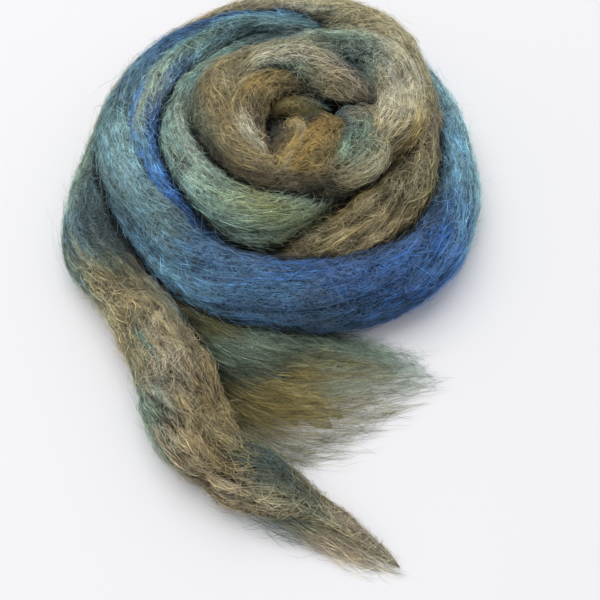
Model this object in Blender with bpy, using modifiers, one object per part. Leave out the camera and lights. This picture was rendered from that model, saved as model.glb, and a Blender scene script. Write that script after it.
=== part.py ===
"""Hand-dyed wool roving: one soft combed strand, loosely wound into a flat nest, with its two loose ends
lying on the surface in front of it. Metres, +Z up, the floor at z = 0, the viewer at -Y."""

import math
from collections import namedtuple

import bmesh
import bpy
import numpy as np

MM = 0.001

# The nest's middle, seen from the middle of the whole thing's footprint, in millimetres.
NEST_AT = (2.6, 42.5)
# The upper swirl's middle, seen from the nest's.
SWIRL_AT = (12.0, 2.0)

# A strand is a row for each bend: where its middle is, and how wide and high its soft section is (mm).
# Turn places it by angle (degrees) and radius about the nest, Loop about the upper swirl, Spot by x and y.
Turn = namedtuple("Turn", "angle radius z wide high")
Loop = namedtuple("Loop", "angle radius z wide high")
Spot = namedtuple("Spot", "x y z wide high")

OUTER_TURN = (
    Turn(-145, 106.5, 11, 28, 24),
    Turn(-148, 105, 11, 28, 24),
    Turn(-153, 100, 11, 28, 24),
    Turn(-161, 94, 11, 28, 24),
    Turn(-178, 85, 11, 28, 24),
    Turn(-198, 86, 11, 28, 24),
    Turn(-218, 90, 12, 28, 25),
    Turn(-238, 98, 12, 29, 26),
    Turn(-258, 106, 12, 31, 26),
    Turn(-275, 109, 14, 32, 26),
    Turn(-292, 100, 20, 33, 26),
    Turn(-314, 81, 29, 31, 24),
    Turn(-340, 69, 31, 28, 24),
    Turn(-366, 66, 29, 27, 24),
    Turn(-389, 68, 25, 29, 26),
    Turn(-408, 70, 21, 31, 28),
    Turn(-425, 70, 18, 27, 26),
    Turn(-440, 70, 16, 19, 20),
    Turn(-450, 71, 15, 9, 12),
)
RING_TURN = (
    Turn(66, 98, 11, 23, 22),
    Turn(84, 97, 13, 23, 23),
    Turn(105, 93, 15, 25, 26),
    Turn(126, 89, 17, 27, 27),
    Turn(146, 83, 19, 28, 27),
    Turn(166, 79, 20, 29, 27),
    Turn(185, 78, 20, 29, 27),
    Turn(205, 78, 19, 29, 28),
    Turn(228, 81, 16, 30, 30),
    Turn(249, 88, 14, 31, 31),
    Turn(268, 92, 14, 31, 31),
    Turn(284, 96, 14, 31, 31),
    Turn(299, 99, 14, 30, 31),
    Turn(314, 98, 14, 30, 30),
    Turn(329, 92, 13, 29, 29),
    Turn(346, 87, 13, 27, 28),
    Turn(368, 84, 12, 26, 26),
    Turn(388, 87, 11, 24, 25),
    Turn(407, 93, 11, 24, 23),
    Turn(420, 98, 10, 22, 20),
)
INNER_BAND = (
    Turn(74, 90, 20, 10, 12),
    Turn(101, 87, 24, 13, 15),
    Turn(121, 81, 25, 15, 17),
    Turn(140, 74, 26, 15, 17),
    Turn(161, 70, 26, 13, 16),
    Turn(182, 69, 26, 12, 16),
    Turn(204, 67, 25, 12, 15),
    Turn(223, 68, 23, 11, 14),
    Turn(241, 71, 20, 9, 12),
    Turn(254, 73, 17, 7, 10),
)
MINT_TURN = (
    Turn(14, 70, 13, 26, 24),
    Turn(42, 75, 13, 26, 25),
    Turn(70, 76, 14, 26, 26),
    Turn(96, 70, 15, 26, 26),
    Turn(118, 61, 17, 25, 27),
    Turn(140, 54, 20, 24, 28),
    Turn(166, 50, 22, 25, 29),
    Turn(192, 48, 23, 28, 31),
    Turn(219, 48, 23, 31, 32),
    Turn(243, 54, 23, 31, 32),
    Turn(262, 57, 23, 29, 31),
    Turn(278, 55, 22, 26, 29),
    Turn(298, 49, 20, 23, 27),
    Turn(318, 46, 18, 19, 24),
)
# What the upper turns lie on: the hidden start of the winding, pressed flat.
HEART = (
    Spot(-52, 4, 11, 40, 22),
    Spot(-26, 0, 15, 100, 30),
    Spot(6, 0, 17, 128, 34),
    Spot(40, 4, 15, 112, 30),
    Spot(66, 8, 12, 60, 22),
)
SWIRL_LOOP = (
    Loop(96, 38, 26, 13, 15),
    Loop(122, 43, 34, 20, 21),
    Loop(152, 46, 36, 21, 24),
    Loop(186, 42, 37, 23, 25),
    Loop(220, 39, 38, 24, 25),
    Loop(250, 38, 38, 24, 25),
    Loop(278, 39, 38, 24, 25),
    Loop(306, 40, 38, 24, 25),
    Loop(334, 43, 38, 24, 25),
    Loop(360, 46, 38, 24, 25),
    Loop(384, 49, 38, 24, 25),
    Loop(408, 50, 38, 24, 24),
    Loop(432, 43, 38, 23, 24),
    Loop(458, 36, 39, 23, 24),
    Loop(486, 36, 40, 21, 22),
    Loop(514, 38, 38, 18, 19),
    Loop(540, 38, 30, 12, 13),
)
CROSSING_LOCK = (
    Spot(-18, 24, 42, 16, 12),
    Spot(-4, 26, 46, 20, 14),
    Spot(11, 24, 48, 24, 15),
    Spot(25, 17, 48, 26, 15),
    Spot(37, 10, 46, 24, 14),
    Spot(47, 7, 42, 16, 12),
)
INNER_CURL = (
    Spot(12, 16, 40, 13, 14),
    Spot(-3, 16, 41, 15, 16),
    Spot(-14, 6, 41, 17, 17),
    Spot(-17, -8, 41, 17, 17),
    Spot(-8, -20, 41, 16, 17),
    Spot(6, -25, 40, 15, 16),
    Spot(18, -21, 38, 12, 14),
)
CORE_TUFT = (
    Spot(0, -19, 34, 12, 14),
    Spot(4, -12, 37, 19, 18),
    Spot(11, -5, 38, 21, 18),
    Spot(21, 2, 36, 18, 16),
)
FOLD_TUFT = (
    Spot(38, 4, 40, 16, 14),
    Spot(35, -8, 43, 20, 16),
    Spot(27, -20, 42, 18, 15),
    Spot(16, -27, 39, 14, 12),
)
TAIL = (
    Spot(-86.9, -62, 11, 28, 24),
    Spot(-85.2, -67.2, 11, 28, 24),
    Spot(-79.5, -75.5, 11, 28, 24),
    Spot(-70, -88, 11, 27, 24),
    Spot(-59, -104, 11, 28, 24),
    Spot(-49.5, -120, 11, 30, 24),
    Spot(-42.5, -135, 11, 33, 25),
    Spot(-37, -149, 11, 33, 25),
    Spot(-29.5, -163, 11, 30, 24),
    Spot(-17, -174, 10, 27, 22),
    Spot(-3, -181, 9, 24, 20),
    Spot(9, -188, 8, 20, 18),
    Spot(19, -194, 7, 15, 15),
    Spot(29, -200, 5, 11, 11),
    Spot(39, -207, 3, 8, 7),
)

# The opened end is flow lines side by side: each leaves the strand at its root, bends at its knee and thins
# to its tip. High is its loft at the knee.
Flow = namedtuple("Flow", "root_x root_y knee_x knee_y tip_x tip_y high")
FAN_FLOWS = (
    Flow(-80, -60, -52, -96, -22, -152, 9),
    Flow(-78, -58, -44, -100, -8, -163, 11),
    Flow(-76, -56, -36, -104, 8, -167, 11),
    Flow(-74, -55, -30, -108, 25, -160, 12),
    Flow(-73, -54, -25, -108, 41, -148, 11),
    Flow(-71, -52, -21, -106, 53, -136, 12),
    Flow(-70, -50, -19, -103, 60, -125, 11),
    Flow(-68, -48, -18, -100, 54, -114, 8),
)
FAN_ROOT_HIGH = 8.0  # mm, its loft where it leaves the strand
FAN_EDGE = 1.8  # mm, how thick it is at its rim and tips
FAN_LOCKS = 12
FAN_NOTCH = 0.07  # how deep the gaps between the tips are, as a share of a flow line
FAN_FURROW = 0.18  # how deep the furrows between the locks are, as a share of the loft
FAN_RIM_POWER = 8  # how late the loft falls off towards the two edges
FAN_ACROSS = 48
FAN_ALONG = 16

SECTION_POINTS = 24
LOCKS_IN_STRAND = 5
LOCK_DEPTH = 0.13
LOCK_TWIST = math.radians(2.0)  # for each millimetre of strand
TAIL_PHASE = math.pi  # the tail's locks go on from those of the outer turn
STATION = 5.0  # mm between sections
FINE_STEPS = 12  # readings for each row of a table, before the stations are spaced evenly
CUBE_SIDE = 2.6  # mm
NEST_TRIANGLES = 8000
CLEARANCE = 0.7  # mm, how far the loose ends keep from what they lie against


def place(row):
    """A row's middle, in millimetres about the nest's middle."""
    if isinstance(row, Spot):
        return (row.x, row.y, row.z)
    middle = SWIRL_AT if isinstance(row, Loop) else (0.0, 0.0)
    turned = math.radians(row.angle)
    return (
        middle[0] + row.radius * math.cos(turned),
        middle[1] + row.radius * math.sin(turned),
        row.z,
    )


def smooth_rows(table, count):
    """count rows, read from a Catmull-Rom curve through the rows of table."""
    rows = np.asarray(table, float)
    ends = (2 * rows[0] - rows[1], 2 * rows[-1] - rows[-2])
    rows = np.vstack([ends[0], rows, ends[1]])
    found = []
    for t in np.linspace(0, len(table) - 1, count):
        i = min(int(t), len(table) - 2)
        a, b, c, d = rows[i : i + 4]
        u = t - i
        found.append(
            0.5 * (2 * b + (c - a) * u + (2 * a - 5 * b + 4 * c - d) * u**2 + (3 * b - a - 3 * c + d) * u**3)
        )
    return np.array(found)


def strand_rings(table, phase=0.0, margin=0.0):
    """The sections of a strand: soft ellipses with the strand's main locks as ridges, slowly twisting.
    A margin (mm) makes it that much fatter all round, for a cutter."""
    rows = [(*place(row), row.wide, row.high) for row in table]
    fine = smooth_rows(rows, FINE_STEPS * len(rows))
    run = np.concatenate([[0], np.cumsum(np.linalg.norm(np.diff(fine[:, :3], axis=0), axis=1))])
    along = np.linspace(0, run[-1], max(6, round(run[-1] / STATION)))
    stations = np.column_stack([np.interp(along, run, column) for column in fine.T])
    middles = stations[:, :3]
    ahead = np.gradient(middles, axis=0)
    ahead /= np.linalg.norm(ahead, axis=1)[:, None]
    side = np.cross(ahead, (0, 0, 1))
    side /= np.linalg.norm(side, axis=1)[:, None]
    lift = np.cross(side, ahead)
    around = (np.arange(SECTION_POINTS) + 0.5) * 2 * math.pi / SECTION_POINTS
    rings = []
    for middle, s, u, reached, row in zip(middles, side, lift, along, stations):
        ridge = 1 + LOCK_DEPTH * np.cos(LOCKS_IN_STRAND * around + LOCK_TWIST * reached + phase)
        across = (row[3] / 2 * ridge + margin) * np.cos(around)
        above = (row[4] / 2 * ridge + margin) * np.sin(around)
        rings.append(middle + across[:, None] * s + above[:, None] * u)
    rings[0] = rings[0] - margin * ahead[0]
    rings[-1] = rings[-1] + margin * ahead[-1]
    return rings


def fan_rings():
    """The sections of the opened end, each a thin strip across all flow lines, flat underneath."""
    flows = smooth_rows(FAN_FLOWS, FAN_ACROSS + 1)
    share = np.linspace(0, 1, FAN_ACROSS + 1)
    # The tips are ragged: each lock ends in a point, and no two are alike.
    lock = np.abs(np.sin(math.pi * FAN_LOCKS * share))
    uneven = 0.5 + 0.5 * np.sin(2.3 * FAN_LOCKS * share + 0.7)
    reach = 1 - FAN_NOTCH * (1 - lock) - FAN_NOTCH * uneven
    rim = np.sqrt(1 - (2 * share - 1) ** FAN_RIM_POWER)
    furrow = 1 - FAN_FURROW * (1 - lock)
    root, knee, tip = flows[:, 0:2], flows[:, 2:4], flows[:, 4:6]
    rings = []
    for v in np.linspace(0, 1, FAN_ALONG + 1):
        t = (v * reach)[:, None]
        flat = (1 - t) ** 2 * root + 2 * t * (1 - t) * knee + t**2 * tip
        swell = (1 - v) ** 2 * FAN_ROOT_HIGH + 2.6 * v * (1 - v) * flows[:, 6]
        high = FAN_EDGE + rim * swell * furrow
        top = np.column_stack([flat, high])
        under = np.column_stack([flat, np.zeros(len(flat))])
        rings.append(np.vstack([top, under[::-1]]))
    return rings


def add_loft(mesh, rings, flat_ends):
    """Adds a closed loft through rings of equal size. An end that lies in no plane is closed by strips, each
    from point k to point -1-k."""
    count = len(rings[0])
    points = [[mesh.verts.new(p * MM) for p in ring] for ring in rings]
    for first, second in zip(points, points[1:]):
        for k in range(count):
            after = (k + 1) % count
            mesh.faces.new((first[k], first[after], second[after], second[k]))
    for ring in (points[0], points[-1]):
        if flat_ends:
            mesh.faces.new(ring)
        else:
            for k in range(count // 2 - 1):
                mesh.faces.new((ring[k], ring[k + 1], ring[-2 - k], ring[-1 - k]))


def wool(name, colour):
    material = bpy.data.materials.new(name)
    material.use_nodes = True
    shader = material.node_tree.nodes["Principled BSDF"]
    shader.inputs["Base Color"].default_value = (*colour, 1)
    shader.inputs["Roughness"].default_value = 0.95
    shader.inputs["Metallic"].default_value = 0.0
    material.diffuse_color = (*colour, 1)
    return material


def new_object(name, lofts, collection, flat_ends=True):
    """An object of closed lofts that may run into each other, with its origin on the floor at the nest."""
    made = bmesh.new()
    for rings in lofts:
        add_loft(made, rings, flat_ends)
    bmesh.ops.recalc_face_normals(made, faces=made.faces)
    mesh = bpy.data.meshes.new(name)
    made.to_mesh(mesh)
    made.free()
    thing = bpy.data.objects.new(name, mesh)
    thing.location = (NEST_AT[0] * MM, NEST_AT[1] * MM, 0)
    collection.objects.link(thing)
    return thing


def add_remesh(thing):
    remesh = thing.modifiers.new("one_body", "REMESH")
    remesh.mode = "VOXEL"
    remesh.voxel_size = CUBE_SIDE * MM
    remesh.use_smooth_shade = True


def apply_modifiers(thing):
    bpy.context.view_layer.update()
    graph = bpy.context.evaluated_depsgraph_get()
    mesh = bpy.data.meshes.new_from_object(thing.evaluated_get(graph))
    thing.modifiers.clear()
    thing.data = mesh
    mesh.name = thing.name


def keep_outer_skin(thing):
    """Deletes what is sealed inside: the nest is wool all the way through."""
    shape = bmesh.new()
    shape.from_mesh(thing.data)
    left, bodies = set(shape.verts), []
    while left:
        body, todo = set(), [next(iter(left))]
        while todo:
            vert = todo.pop()
            if vert in body:
                continue
            body.add(vert)
            todo.extend(edge.other_vert(vert) for edge in vert.link_edges)
        left -= body
        bodies.append(body)
    bodies.sort(key=len)
    for body in bodies[:-1]:
        bmesh.ops.delete(shape, geom=list(body), context="VERTS")
    shape.to_mesh(thing.data)
    shape.free()


def thin_to(thing, triangles):
    """Leaves about this many triangles."""
    thing.data.calc_loop_triangles()
    fewer = thing.modifiers.new("fewer", "DECIMATE")
    fewer.ratio = min(1.0, triangles / len(thing.data.loop_triangles))
    apply_modifiers(thing)


def settle(thing):
    """Brings what dips under the floor up to it, as flat spots."""
    for vert in thing.data.vertices:
        vert.co.z = max(vert.co.z, 0.0)
    thing.data.shade_smooth()


def as_cutter(thing):
    thing.hide_render = True
    thing.display_type = "WIRE"
    return thing


def grown(thing, by, collection):
    """A cutter: the shape of thing, with a clear margin all round."""
    cutter = bpy.data.objects.new(thing.name + "_clearance", thing.data.copy())
    cutter.location = thing.location
    collection.objects.link(cutter)
    swell = cutter.modifiers.new("swell", "DISPLACE")
    swell.strength = by * MM
    swell.mid_level = 0.0
    add_remesh(cutter)
    apply_modifiers(cutter)
    return as_cutter(cutter)


def cut(thing, cutter):
    boolean = thing.modifiers.new("clear_of_" + cutter.name, "BOOLEAN")
    boolean.operation = "DIFFERENCE"
    boolean.object = cutter
    apply_modifiers(thing)


def main():
    for old in list(bpy.data.objects):
        bpy.data.objects.remove(old)
    parts = bpy.data.collections.new("wool_roving")
    cutters = bpy.data.collections.new("cutters")
    for collection in (parts, cutters):
        bpy.context.scene.collection.children.link(collection)

    strands = (
        OUTER_TURN,
        RING_TURN,
        INNER_BAND,
        MINT_TURN,
        SWIRL_LOOP,
        CROSSING_LOCK,
        INNER_CURL,
        CORE_TUFT,
        FOLD_TUFT,
        HEART,
    )
    nest = new_object("nest", [strand_rings(table, phase) for phase, table in enumerate(strands)], parts)
    nest.data.materials.append(wool("blue_wool", (0.12, 0.27, 0.45)))
    add_remesh(nest)
    apply_modifiers(nest)
    keep_outer_skin(nest)
    thin_to(nest, NEST_TRIANGLES)
    settle(nest)
    nest_cutter = grown(nest, CLEARANCE, cutters)

    tail = new_object("tail_end", [strand_rings(TAIL, TAIL_PHASE)], parts)
    tail.data.materials.append(wool("tan_wool", (0.42, 0.33, 0.2)))
    cut(tail, nest_cutter)
    keep_outer_skin(tail)
    settle(tail)

    fan = new_object("fan_end", [fan_rings()], parts, flat_ends=False)
    fan.data.materials.append(wool("olive_wool", (0.3, 0.28, 0.13)))
    cut(fan, nest_cutter)
    cut(fan, as_cutter(new_object("tail_clearance", [strand_rings(TAIL, TAIL_PHASE, CLEARANCE)], cutters)))
    keep_outer_skin(fan)
    settle(fan)


main()
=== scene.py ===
"""Looks of the hand-dyed wool roving: bodies of combed wool with their locks and furrows, thousands of fine
fibres on them and standing off them, and the dyes. Lengths in the tables are millimetres and objects are in
metres, +Z is up, the floor is at z = 0 and the viewer at -Y."""

import math
from collections import namedtuple

import bpy
import numpy as np
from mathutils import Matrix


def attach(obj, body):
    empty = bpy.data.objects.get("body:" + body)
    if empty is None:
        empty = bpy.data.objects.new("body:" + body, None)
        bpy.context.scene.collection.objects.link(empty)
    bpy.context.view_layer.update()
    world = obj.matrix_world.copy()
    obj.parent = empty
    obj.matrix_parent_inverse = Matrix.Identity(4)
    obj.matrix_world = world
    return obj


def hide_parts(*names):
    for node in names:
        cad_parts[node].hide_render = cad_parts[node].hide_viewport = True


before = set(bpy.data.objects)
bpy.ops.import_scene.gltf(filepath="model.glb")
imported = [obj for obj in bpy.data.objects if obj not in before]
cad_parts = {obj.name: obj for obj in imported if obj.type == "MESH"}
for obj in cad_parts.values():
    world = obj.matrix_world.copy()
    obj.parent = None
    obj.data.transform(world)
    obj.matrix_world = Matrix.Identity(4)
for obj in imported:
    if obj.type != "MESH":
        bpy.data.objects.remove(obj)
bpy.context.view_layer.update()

MM = 0.001
TURN = 2 * math.pi

# ---- The strand's route, as in the model's own source ----

# The nest's middle, seen from the middle of the whole thing's footprint, in millimetres.
NEST_AT = (2.6, 42.5)
# The upper swirl's middle, seen from the nest's.
SWIRL_AT = (12.0, 2.0)

# A strand is a row for each bend: where its middle is, and how wide and high its soft section is (mm).
# Turn places it by angle (degrees) and radius about the nest, Loop about the upper swirl, Spot by x and y.
Turn = namedtuple("Turn", "angle radius z wide high")
Loop = namedtuple("Loop", "angle radius z wide high")
Spot = namedtuple("Spot", "x y z wide high")


def table(kind, *rows):
    return tuple(kind(*row) for row in rows)


OUTER_TURN = table(
    Turn,
    (-145, 106.5, 11, 28, 24), (-148, 105, 11, 28, 24), (-153, 100, 11, 28, 24), (-161, 94, 11, 28, 24),
    (-178, 85, 11, 28, 24), (-198, 86, 11, 28, 24), (-218, 90, 12, 28, 25), (-238, 98, 12, 29, 26),
    (-258, 106, 12, 31, 26), (-275, 109, 14, 32, 26), (-292, 100, 20, 33, 26), (-314, 81, 29, 31, 24),
    (-340, 69, 31, 28, 24), (-366, 66, 29, 27, 24), (-389, 68, 25, 29, 26), (-408, 70, 21, 31, 28),
    (-425, 70, 18, 27, 26), (-440, 70, 16, 19, 20), (-450, 71, 15, 9, 12),
)
RING_TURN = table(
    Turn,
    (66, 98, 11, 23, 22), (84, 97, 13, 23, 23), (105, 93, 15, 25, 26), (126, 89, 17, 27, 27),
    (146, 83, 19, 28, 27), (166, 79, 20, 29, 27), (185, 78, 20, 29, 27), (205, 78, 19, 29, 28),
    (228, 81, 16, 30, 30), (249, 88, 14, 31, 31), (268, 92, 14, 31, 31), (284, 96, 14, 31, 31),
    (299, 99, 14, 30, 31), (314, 98, 14, 30, 30), (329, 92, 13, 29, 29), (346, 87, 13, 27, 28),
    (368, 84, 12, 26, 26), (388, 87, 11, 24, 25), (407, 93, 11, 24, 23), (420, 98, 10, 22, 20),
)
INNER_BAND = table(
    Turn,
    (74, 90, 20, 10, 12), (101, 87, 24, 13, 15), (121, 81, 25, 15, 17), (140, 74, 26, 18, 17),
    (161, 70, 27, 17, 17), (182, 68, 27, 15, 17), (204, 67, 25, 13, 15), (223, 68, 23, 11, 14),
    (241, 71, 20, 9, 12), (254, 73, 17, 7, 10),
)
MINT_TURN = table(
    Turn,
    (14, 70, 13, 26, 24), (42, 75, 13, 26, 25), (70, 76, 14, 26, 26), (96, 70, 15, 26, 26),
    (118, 61, 17, 25, 27), (140, 54, 20, 24, 28), (166, 50, 22, 25, 29), (192, 48, 23, 28, 31),
    (219, 48, 23, 31, 32), (243, 54, 23, 31, 32), (262, 57, 23, 29, 31), (278, 55, 22, 26, 29),
    (298, 49, 20, 23, 27), (318, 46, 18, 19, 24),
)
# What the upper turns lie on: the hidden start of the winding, pressed flat.
HEART = table(
    Spot,
    (-52, 4, 11, 40, 22), (-26, 0, 15, 100, 30), (6, 0, 17, 128, 34), (40, 4, 15, 112, 30),
    (66, 8, 12, 60, 22),
)
SWIRL_LOOP = table(
    Loop,
    (96, 38, 26, 13, 15), (122, 43, 34, 20, 21), (152, 46, 36, 21, 24), (186, 43, 37, 23, 25),
    (220, 44, 36, 20, 23), (250, 46, 34, 18, 22), (278, 46, 34, 18, 22), (306, 42.5, 36, 21, 23),
    (334, 44.5, 38, 25, 25), (360, 46, 38, 24, 25), (384, 49, 38, 24, 25), (408, 50, 38, 24, 24),
    (432, 43, 38, 23, 24), (458, 36, 39, 23, 24), (486, 36, 40, 21, 22), (514, 38, 38, 18, 19),
    (540, 38, 30, 12, 13),
)
CROSSING_LOCK = table(
    Spot,
    (-18, 24, 42, 16, 12), (-4, 26, 46, 20, 14), (11, 24, 48, 23, 15), (25, 16, 48, 21, 15),
    (38, 8, 45, 16, 12), (51, 2, 37, 9, 8),
)
INNER_CURL = table(
    Spot,
    (22, 9, 38, 10, 11), (12, 14, 42, 14, 13), (-2, 15, 43, 15, 15), (-13, 6, 42, 16, 17),
    (-17, -8, 41, 17, 17), (-14, -22, 39, 14, 16), (-5, -33, 37, 9, 12),
)
SLIT_LOCK = table(
    Spot,
    (-8, 6, 34, 7, 7), (2, 6.5, 38, 10, 9), (11, 5, 39, 11, 10), (23, 2, 38, 9, 9),
)
CORE_TUFT = table(
    Spot,
    (31, -10, 38, 12, 10), (25, -18, 41, 23, 14), (18, -26, 42, 29, 16), (10, -35, 42, 27, 17),
    (3, -43, 40, 14, 13),
)
CORE_LOOP = table(
    Spot,
    (4, -15, 44, 6, 5), (8, -18, 47, 7, 6), (10, -24, 48.5, 7.5, 6), (8, -31, 48.5, 8.5, 6),
    (4, -38, 46.5, 9, 7), (0, -44, 43, 6, 6),
)
FOLD_TUFT = table(
    Spot,
    (33, 0, 37, 14, 12), (38, -11, 41, 24, 15), (40, -24, 42, 25, 16), (33, -37, 41, 21, 15),
    (21, -44, 37, 10, 10),
)
TAIL = table(
    Spot,
    (-86.9, -62, 11, 28, 24), (-85.2, -67.2, 11, 28, 24), (-79.5, -75.5, 11, 28, 24),
    (-70, -88, 11, 27, 24), (-59, -104, 11, 28, 24), (-49.5, -120, 11, 30, 24), (-42.5, -135, 11, 33, 25),
    (-37, -149, 11, 33, 25), (-29.5, -163, 11, 28, 24), (-17, -173.5, 10, 25, 21), (-3, -180, 8.5, 22, 17),
    (8, -184, 6.5, 15, 12), (17, -188, 4.5, 9, 8), (27, -193.5, 3.4, 7, 7), (38, -201.5, 2, 3.8, 3.8),
    (48, -209.5, 1, 1.8, 1.8),
)
# The loose wisps beside the tail's tip.
TAIL_WISPS = table(
    Spot,
    (-6, -186, 5, 18, 9), (5, -190.5, 4, 18, 8), (16, -196, 3, 15, 6), (26, -201.5, 2.2, 12, 4),
    (36, -206.5, 1.6, 9, 3), (45, -210.5, 1.2, 5, 2),
)
# From the tail's tip to its root, and on up the left, round the back and down the right.
LONG_STRAND = TAIL[::-1] + OUTER_TURN[1:]
JUNCTION_ROW = len(TAIL) - 1

# The opened end is flow lines side by side: each leaves the strand at its root, bends at its knee and thins
# to its tip. High is its loft at the knee.
Flow = namedtuple("Flow", "root_x root_y knee_x knee_y tip_x tip_y high")
FAN_FLOWS = table(
    Flow,
    (-80, -60, -52, -96, -22, -152, 9), (-78, -58, -44, -100, -8, -163, 11),
    (-76, -56, -36, -104, 8, -167, 11), (-74, -55, -30, -108, 25, -160, 12),
    (-73, -54, -25, -108, 41, -148, 11), (-71, -52, -21, -106, 53, -136, 12),
    (-70, -50, -19, -103, 60, -125, 11), (-68, -48, -18, -100, 54, -114, 8),
)
FAN_ROOT_HIGH = 8.0  # mm, its loft at the root
FAN_EDGE = 1.8  # mm, and at its rim
FAN_LOCKS = 7
FAN_FURROW = 0.18  # how much of the loft is gone between its locks
FAN_RIM_POWER = 8

# ---- The dyes ----

# Near-black, for painted shade: in hollows, in gaps between turns and under the blue turn.
INK_SHADE = (24, 34, 40)
PEAT_SHADE = (23, 20, 16)
NAVY = (36, 58, 84)
DEEP_BLUE = (30, 78, 132)
DUSK_BLUE = (46, 78, 106)
BLUE = (60, 102, 140)
BRIGHT_BLUE = (56, 112, 176)
SKY = (104, 148, 172)
POWDER = (124, 160, 168)
PALE_BLUE = (150, 176, 180)
DARK_TEAL = (50, 72, 76)
SLATE = (72, 96, 104)
GREY_TEAL = (96, 124, 128)
MINT = (126, 158, 150)
PALE_MINT = (154, 170, 158)
SAGE = (118, 138, 122)
LIME = (130, 135, 90)
MOSS = (88, 96, 76)
DARK_MOSS = (46, 54, 44)
OLIVE = (104, 100, 62)
GOLDEN_OLIVE = (128, 113, 62)
PALE_TAN = (176, 170, 148)
TAN = (156, 146, 114)
CAMEL = (138, 122, 86)
HONEY = (146, 120, 64)
GOLD = (160, 138, 82)
BROWN = (112, 97, 64)
DARK_BROWN = (62, 54, 38)
MAUVE_GREY = (124, 116, 100)
MAUVE_TAN = (152, 138, 118)
PALE_FIBRE = (182, 184, 172)
DYE_GAIN = 1.77  # how much lighter the fibre is than its look among its own shadows

# The dye at a row of the strand's table, seen along its run: on its left, along its top and on its right.
Dye = namedtuple("Dye", "row left top right")

# The near-black right side from row 12.2 to 16.6 is painted shade, beside the opened end and under the blue
# turn.
LONG_DYES = table(
    Dye,
    (0, PALE_TAN, MAUVE_TAN, PALE_TAN), (2, TAN, MAUVE_TAN, MAUVE_TAN), (3.3, TAN, MOSS, BROWN),
    (4.3, TAN, DARK_TEAL, MOSS), (5.2, MAUVE_TAN, MOSS, SLATE), (6, CAMEL, CAMEL, MOSS),
    (6.8, MAUVE_TAN, CAMEL, CAMEL), (7.6, SAGE, CAMEL, CAMEL), (8.5, SAGE, MAUVE_GREY, CAMEL),
    (9.3, SAGE, MAUVE_TAN, CAMEL), (10.2, CAMEL, TAN, TAN), (11.2, TAN, CAMEL, SLATE),
    (12.2, TAN, MOSS, INK_SHADE), (13.4, SAGE, SLATE, INK_SHADE), (15, SLATE, DARK_TEAL, INK_SHADE),
    (16.6, GREY_TEAL, SLATE, INK_SHADE), (17.2, SAGE, SLATE, DARK_TEAL), (18.2, SAGE, SLATE, GREY_TEAL),
    (19.2, SAGE, GREY_TEAL, SKY), (20.3, TAN, GREY_TEAL, SKY), (21, TAN, TAN, SKY),
    (22.5, TAN, CAMEL, SLATE), (24, PALE_TAN, PALE_TAN, MAUVE_GREY), (25, PALE_TAN, TAN, MOSS),
    (26, PALE_TAN, TAN, TAN), (27, TAN, TAN, CAMEL), (28, MAUVE_GREY, CAMEL, CAMEL),
    (29.2, OLIVE, TAN, GOLD), (30.4, CAMEL, CAMEL, GOLD), (31.6, CAMEL, TAN, GOLD),
    (32.6, DARK_MOSS, BROWN, BROWN),
)
RING_DYES = table(
    Dye,
    (0, MOSS, SAGE, CAMEL), (0.8, DARK_TEAL, SKY, BLUE), (2, SLATE, SKY, BRIGHT_BLUE),
    (3, GREY_TEAL, BLUE, BRIGHT_BLUE), (4, GREY_TEAL, BLUE, SKY), (5, SAGE, GREY_TEAL, GREY_TEAL),
    (6, SAGE, POWDER, GREY_TEAL), (7, GREY_TEAL, POWDER, GREY_TEAL), (8, SLATE, GREY_TEAL, SKY),
    (8.8, DUSK_BLUE, BLUE, SKY), (9.6, NAVY, BLUE, BLUE), (11, NAVY, DEEP_BLUE, DUSK_BLUE),
    (12, NAVY, DEEP_BLUE, DEEP_BLUE), (13, NAVY, DEEP_BLUE, BRIGHT_BLUE), (13.8, DUSK_BLUE, BLUE, SKY),
    (14.6, SLATE, SKY, POWDER), (15.6, GREY_TEAL, SKY, POWDER), (17, SLATE, POWDER, PALE_BLUE),
    (19, SLATE, GREY_TEAL, SKY),
)
BAND_DYES = table(
    Dye,
    (0, GREY_TEAL, POWDER, SLATE), (1, GREY_TEAL, POWDER, SKY), (2.4, POWDER, MINT, SKY),
    (3.6, BRIGHT_BLUE, PALE_MINT, POWDER), (4.6, BRIGHT_BLUE, PALE_MINT, BRIGHT_BLUE),
    (5.6, BRIGHT_BLUE, SKY, BRIGHT_BLUE), (6.8, BRIGHT_BLUE, BRIGHT_BLUE, BRIGHT_BLUE),
    (8.2, DEEP_BLUE, DEEP_BLUE, NAVY),
)
MINT_DYES = table(
    Dye,
    (0, DARK_TEAL, SLATE, SLATE), (2.8, DARK_TEAL, DARK_TEAL, SLATE), (4.2, SAGE, GREY_TEAL, MINT),
    (5, SAGE, MINT, PALE_MINT), (6, GREY_TEAL, PALE_MINT, MINT), (7, SLATE, PALE_MINT, MINT),
    (8, GREY_TEAL, PALE_MINT, MINT), (8.8, SAGE, SAGE, MINT), (10, SAGE, LIME, SAGE),
    (11, SLATE, SAGE, LIME), (12, DARK_TEAL, SLATE, MOSS), (13, DARK_TEAL, DARK_TEAL, DARK_MOSS),
)
# The heart is dark brown wool, painted near-black for the shade of the hollows it shows in.
HEART_DYES = table(
    Dye,
    (0, INK_SHADE, INK_SHADE, INK_SHADE), (1, PEAT_SHADE, PEAT_SHADE, PEAT_SHADE), (4, PEAT_SHADE, PEAT_SHADE, DARK_MOSS),
)
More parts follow.
